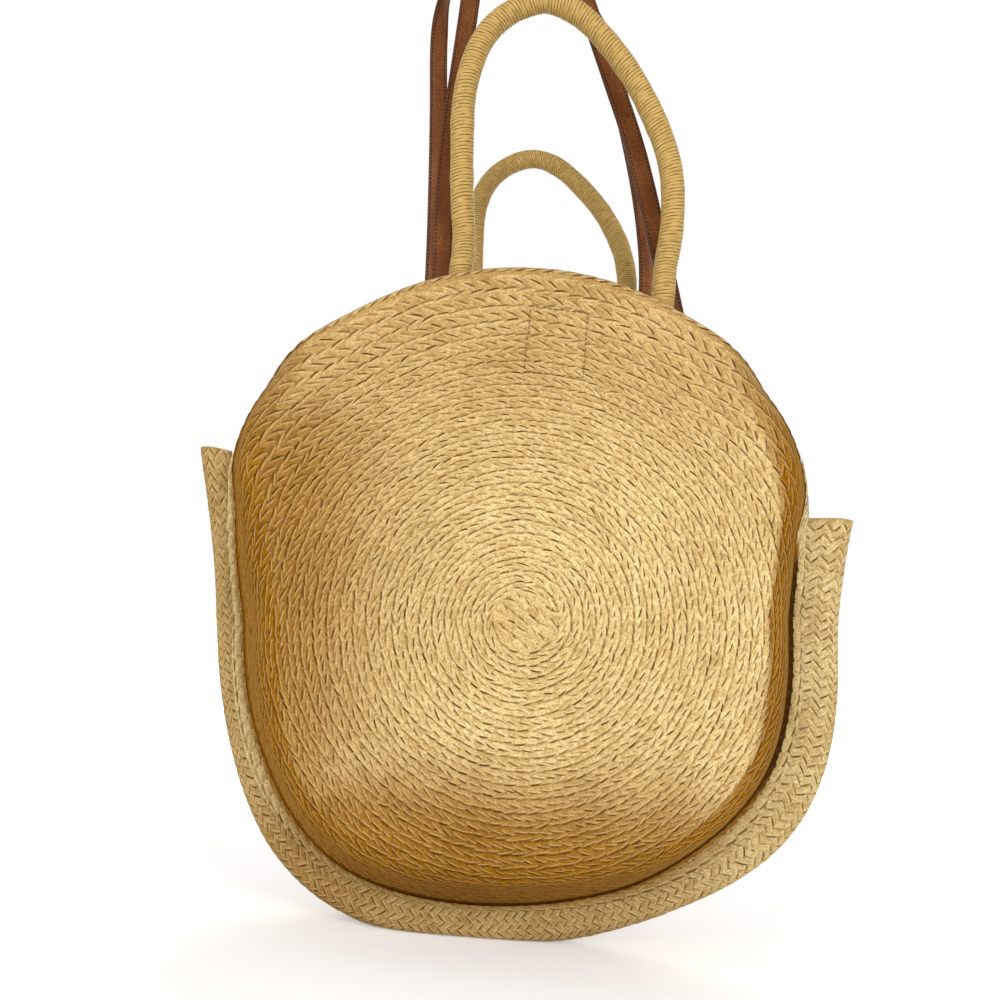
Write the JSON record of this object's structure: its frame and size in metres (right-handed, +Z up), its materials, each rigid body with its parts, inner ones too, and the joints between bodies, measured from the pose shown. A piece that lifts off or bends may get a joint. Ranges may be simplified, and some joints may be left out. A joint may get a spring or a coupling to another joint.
{
  "type": "round straw bag",
  "caption": "Round straw tote of two coiled plait panels and a plaited gusset, with raffia wrapped arch handles, long leather shoulder straps and a magnetic snap.",
  "frame": {"origin": "centre of the flat of the gusset's bottom, which the bag stands on", "axes": "+Z up to the handles, +X to the right seen from the front, -Y out of the front panel"},
  "size_m": [0.3921, 0.2113, 0.6479],
  "materials": {
    "straw": "coiled palm leaf plait, matte",
    "straw_band": "flat palm leaf plait, matte",
    "raffia": "close raffia wrapping, satin",
    "rope": "twisted fibre rope, matte",
    "thread": "waxed thread and leaf lacing, matte",
    "leather": "smooth cowhide, satin",
    "steel": "satin"
  },
  "bodies": {
    "bag": {"front_panel": "straw", "back_panel": "straw", "front_rim_plait": "straw", "back_rim_plait": "straw", "gusset": "straw_band", "front_seam_lacing": "thread", "back_seam_lacing": "thread", "left_hem_thread_1": "thread", "left_hem_thread_2": "thread", "right_hem_thread_1": "thread", "right_hem_thread_2": "thread", "front_handle_tail_left": "raffia", "front_handle_tail_right": "raffia", "front_strap_tail_left": "leather", "front_strap_tail_right": "leather", "front_snap_patch": "leather", "front_snap_base": "steel", "front_patch_thread": "thread", "back_handle_tail_left": "raffia", "back_handle_tail_right": "raffia", "back_strap_tail_left": "leather", "back_strap_tail_right": "leather", "back_snap_patch": "leather", "back_snap_base": "steel", "back_patch_thread": "thread", "back_snap_stud": "steel"},
    "front_handle": {"front_handle_core": "rope", "front_handle_wrap": "raffia"},
    "front_strap": {"front_strap_face": "leather", "front_strap_lining": "leather"},
    "back_handle": {"back_handle_core": "rope", "back_handle_wrap": "raffia"},
    "back_strap": {"back_strap_face": "leather", "back_strap_lining": "leather"}
  },
  "joints": [
    {"name": "front_handle_swing", "type": "hinge", "parent": "bag", "child": "front_handle", "pos_m": [0, -0.053, 0.386], "axis": [1, 0, 0], "range_deg": [0, 106]},
    {"name": "front_strap_sway", "type": "hinge", "parent": "bag", "child": "front_strap", "pos_m": [0, -0.04385, 0.386], "axis": [1, 0, 0], "range_deg": [-4, 4]},
    {"name": "back_handle_swing", "type": "hinge", "parent": "bag", "child": "back_handle", "pos_m": [0, 0.053, 0.386], "axis": [-1, 0, 0], "range_deg": [-18, 87]},
    {"name": "back_strap_sway", "type": "hinge", "parent": "bag", "child": "back_strap", "pos_m": [0, 0.04385, 0.386], "axis": [-1, 0, 0], "range_deg": [-4, 4]}
  ]
}
